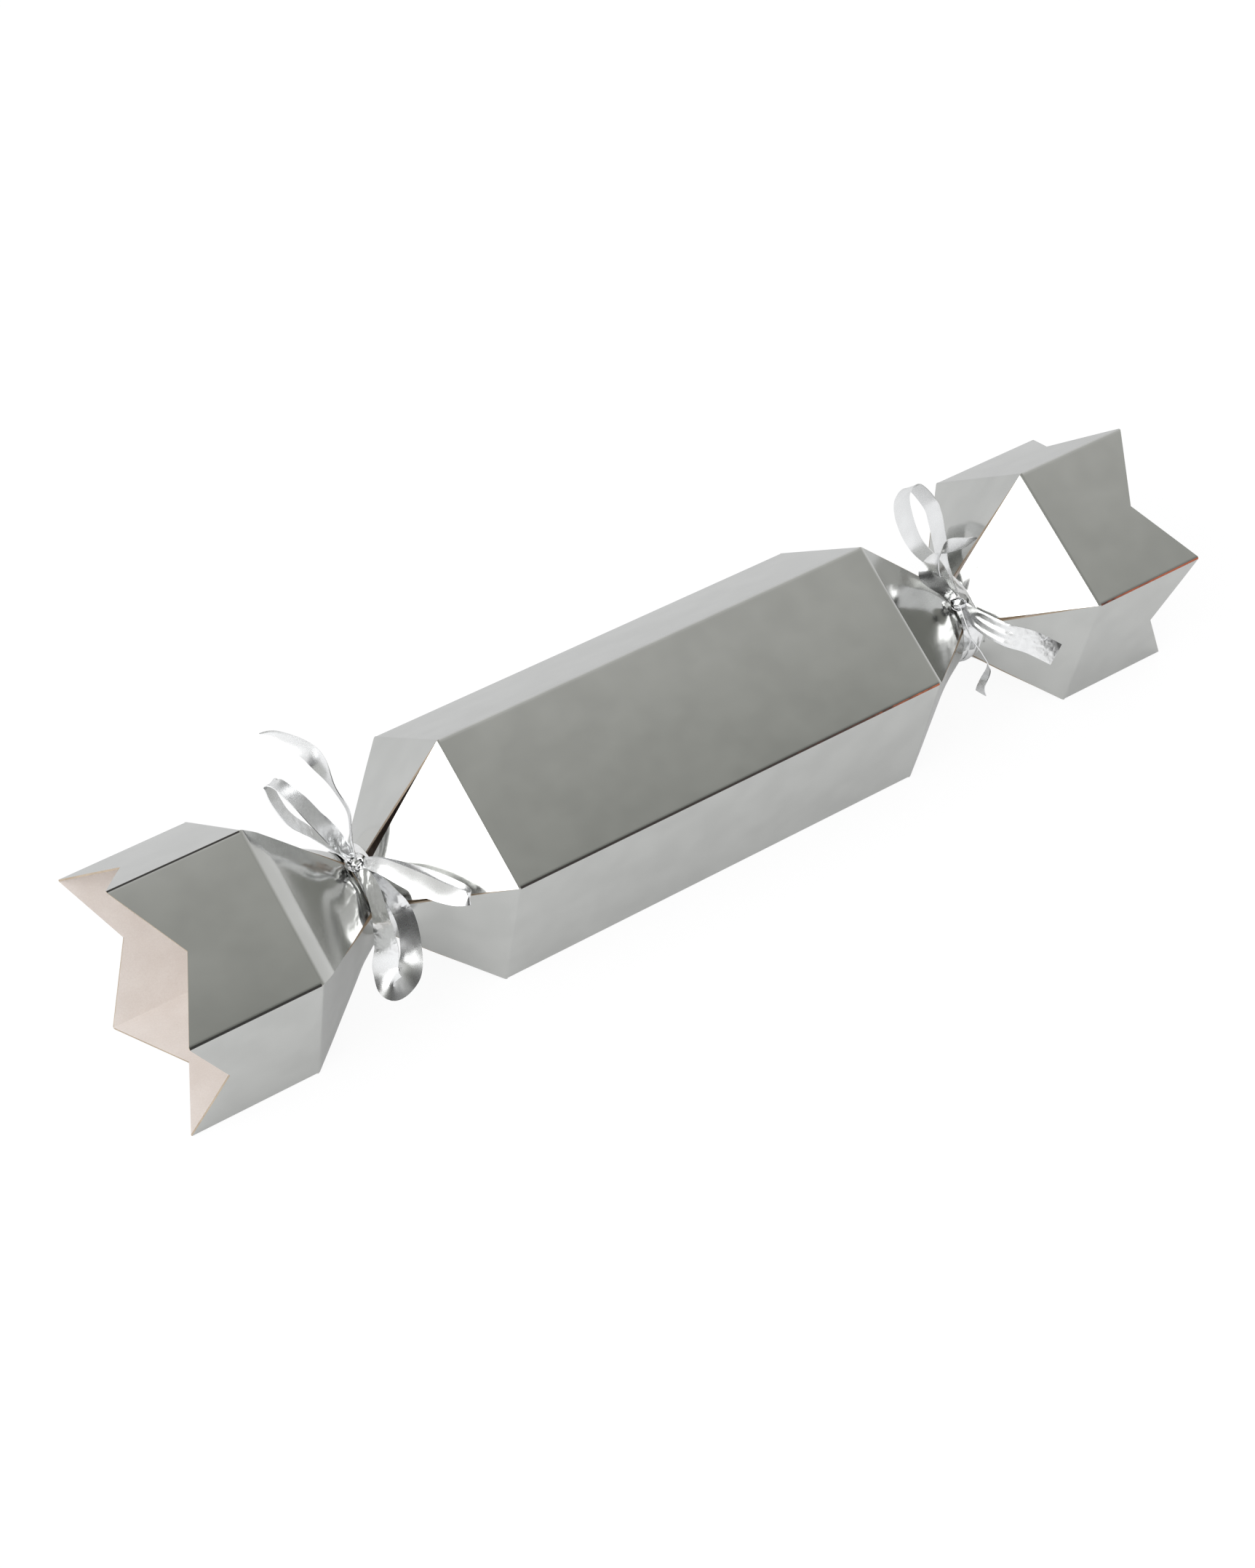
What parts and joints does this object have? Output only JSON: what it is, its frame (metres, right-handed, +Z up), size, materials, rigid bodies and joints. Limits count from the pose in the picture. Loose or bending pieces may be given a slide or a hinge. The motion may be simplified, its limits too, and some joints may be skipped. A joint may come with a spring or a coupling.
{
  "type": "christmas cracker",
  "caption": "Five-sided Christmas cracker folded from mirror silver card, with notched open ends, cut necks tied with ribbon bows, and a pull snap, hat, slip and top inside.",
  "frame": {"origin": "the middle of the flat floor panel that the cracker rests on, halfway between its two ends", "axes": "+X runs along the length to the right in the picture, -Y faces the near side with the glued seam, +Z is up"},
  "size_m": [0.28, 0.0633, 0.0668],
  "materials": {
    "foil_card": "smooth mirror silver foil outside, uncoated buff card inside and on the raw edges",
    "ribbon": "crinkled mirror silver ribbon",
    "snap_card": "plain buff card strip",
    "slip_paper": "plain off-white paper",
    "hat_paper": "thin red tissue paper, folded",
    "turned_wood": "turned pale wood"
  },
  "bodies": {
    "barrel": {"barrel_tube": "foil_card", "barrel_glue_lap": "foil_card", "left_inner_floor_flap": "foil_card", "left_inner_far_lower_flap": "foil_card", "left_inner_far_upper_flap": "foil_card", "left_inner_near_upper_flap": "foil_card", "left_inner_near_lower_flap": "foil_card", "right_inner_floor_flap": "foil_card", "right_inner_far_lower_flap": "foil_card", "right_inner_far_upper_flap": "foil_card", "right_inner_near_upper_flap": "foil_card", "right_inner_near_lower_flap": "foil_card", "paper_hat": "hat_paper", "motto_slip": "slip_paper", "spinning_top": "turned_wood"},
    "left_tie": {"left_neck_webs": "foil_card", "left_ribbon_wrap": "ribbon", "left_knot": "ribbon", "left_tail": "ribbon", "left_back_loop": "ribbon", "left_barrel_loop": "ribbon", "left_down_loop": "ribbon"},
    "left_end": {"left_outer_floor_flap": "foil_card", "left_outer_far_lower_flap": "foil_card", "left_outer_far_upper_flap": "foil_card", "left_outer_near_upper_flap": "foil_card", "left_outer_near_lower_flap": "foil_card", "left_cuff": "foil_card", "left_cuff_glue_lap": "foil_card"},
    "right_tie": {"right_neck_webs": "foil_card", "right_ribbon_wrap": "ribbon", "right_knot": "ribbon", "right_loop": "ribbon", "right_curl_tail": "ribbon", "right_flat_tail": "ribbon", "right_hanging_tail": "ribbon"},
    "right_end": {"right_outer_floor_flap": "foil_card", "right_outer_far_lower_flap": "foil_card", "right_outer_far_upper_flap": "foil_card", "right_outer_near_upper_flap": "foil_card", "right_outer_near_lower_flap": "foil_card", "right_cuff": "foil_card", "right_cuff_glue_lap": "foil_card"},
    "left_snap": {"snap_left_strip": "snap_card", "snap_sleeve": "slip_paper"},
    "right_snap": {"snap_right_strip": "snap_card"}
  },
  "joints": [
    {"name": "left_end_swing", "type": "hinge", "parent": "barrel", "child": "left_tie", "pos_m": [-0.0835, 0, 0.02603], "axis": [0, 0, 1], "range_deg": [-8, 8]},
    {"name": "left_end_lift", "type": "hinge", "parent": "left_tie", "child": "left_end", "pos_m": [-0.0835, 0, 0.02603], "axis": [0, 1, 0], "range_deg": [0, 8]},
    {"name": "right_end_swing", "type": "hinge", "parent": "barrel", "child": "right_tie", "pos_m": [0.0835, 0, 0.02603], "axis": [0, 0, 1], "range_deg": [-8, 8]},
    {"name": "right_end_lift", "type": "hinge", "parent": "right_tie", "child": "right_end", "pos_m": [0.0835, 0, 0.02603], "axis": [0, -1, 0], "range_deg": [0, 8]},
    {"name": "left_snap_pull", "type": "slide", "parent": "barrel", "child": "left_snap", "axis": [-1, 0, 0], "range_m": [0, 0.04]},
    {"name": "right_snap_pull", "type": "slide", "parent": "barrel", "child": "right_snap", "axis": [1, 0, 0], "range_m": [0, 0.04]}
  ]
}
